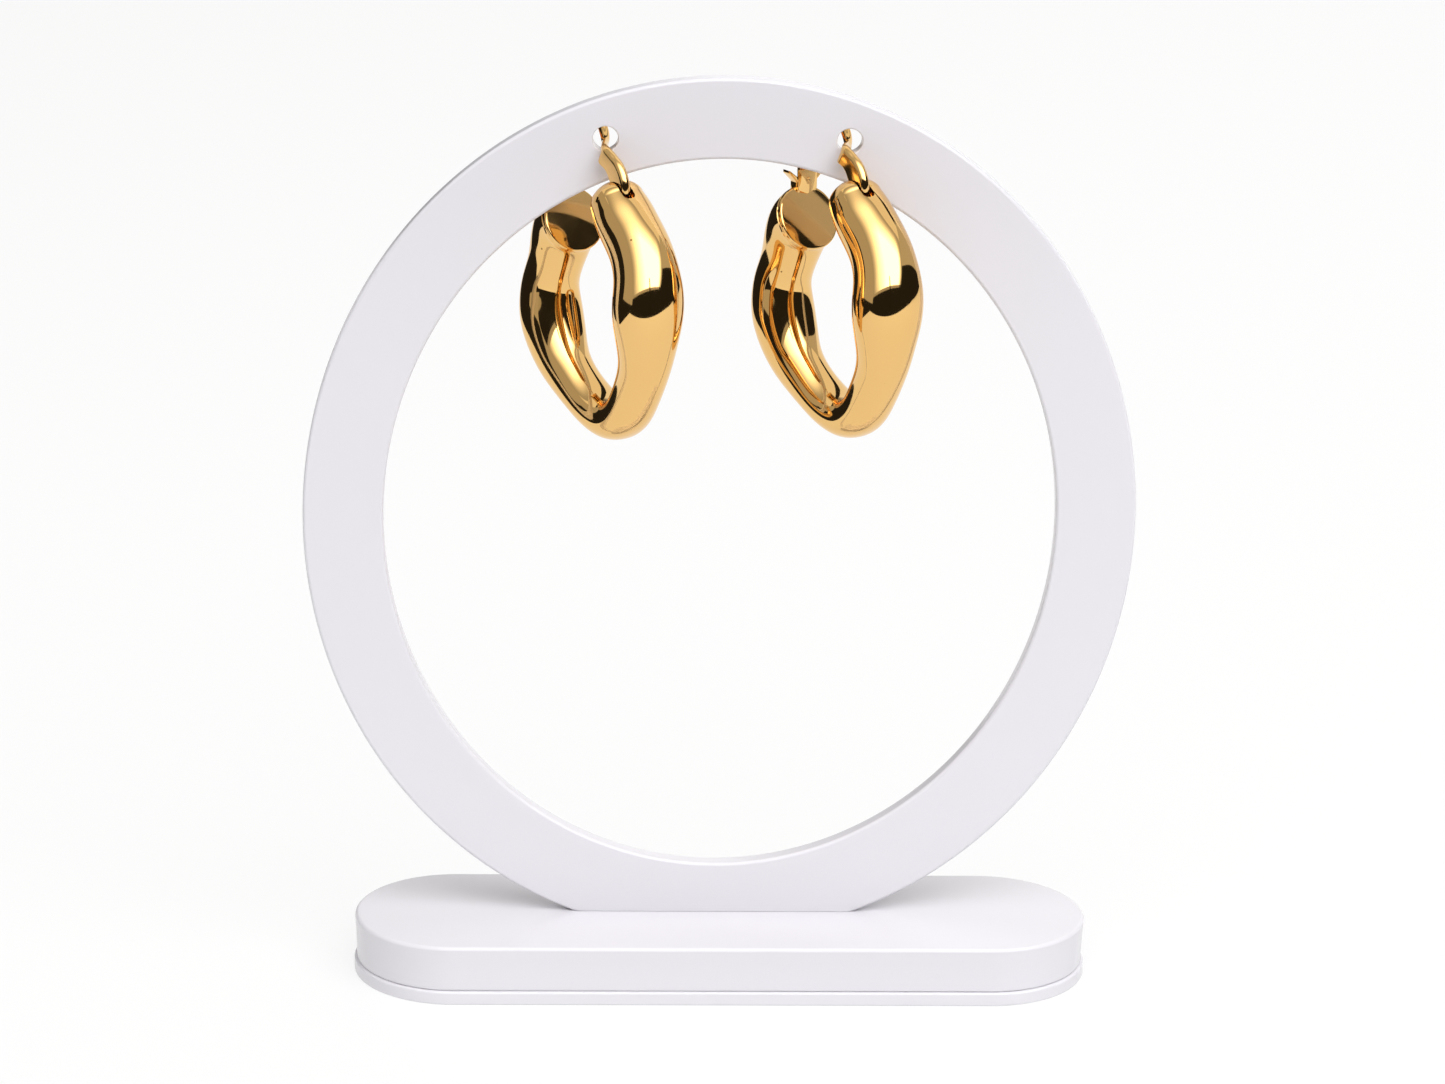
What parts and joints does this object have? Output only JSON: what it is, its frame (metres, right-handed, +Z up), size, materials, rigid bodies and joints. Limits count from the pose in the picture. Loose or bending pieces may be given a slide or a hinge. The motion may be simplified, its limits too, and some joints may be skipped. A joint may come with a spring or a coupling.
{
  "type": "hoop earrings on a display stand",
  "caption": "Dented hollow gold hoop earrings with hinged ear wires, hung through holes in a flat white ring that stands on a low oblong base.",
  "frame": {"origin": "middle of the stand base's underside", "axes": "+Z up, -Y towards the front of the stand, +X to the right as seen from the front"},
  "size_m": [0.107, 0.0285, 0.1194],
  "materials": {
    "white_gloss_plastic": "glossy white acrylic",
    "polished_gold": "mirror-polished gold colour"
  },
  "bodies": {
    "stand": {"stand_base": "white_gloss_plastic", "stand_ring": "white_gloss_plastic", "left_ear_wire": "polished_gold", "right_ear_wire": "polished_gold"},
    "left_swing": {"left_hoop": "polished_gold", "left_hinge_pin": "polished_gold"},
    "right_swing": {"right_hoop": "polished_gold", "right_hinge_pin": "polished_gold"}
  },
  "joints": [
    {"name": "left_hinge", "type": "hinge", "parent": "stand", "child": "left_swing", "pos_m": [-0.01434, -0.00473, 0.10456], "axis": [-0.8387, -0.5446, 0], "range_deg": [0, 20]},
    {"name": "right_hinge", "type": "hinge", "parent": "stand", "child": "right_swing", "pos_m": [0.01541, -0.00473, 0.10506], "axis": [-0.8387, -0.5446, 0], "range_deg": [0, 20]}
  ]
}
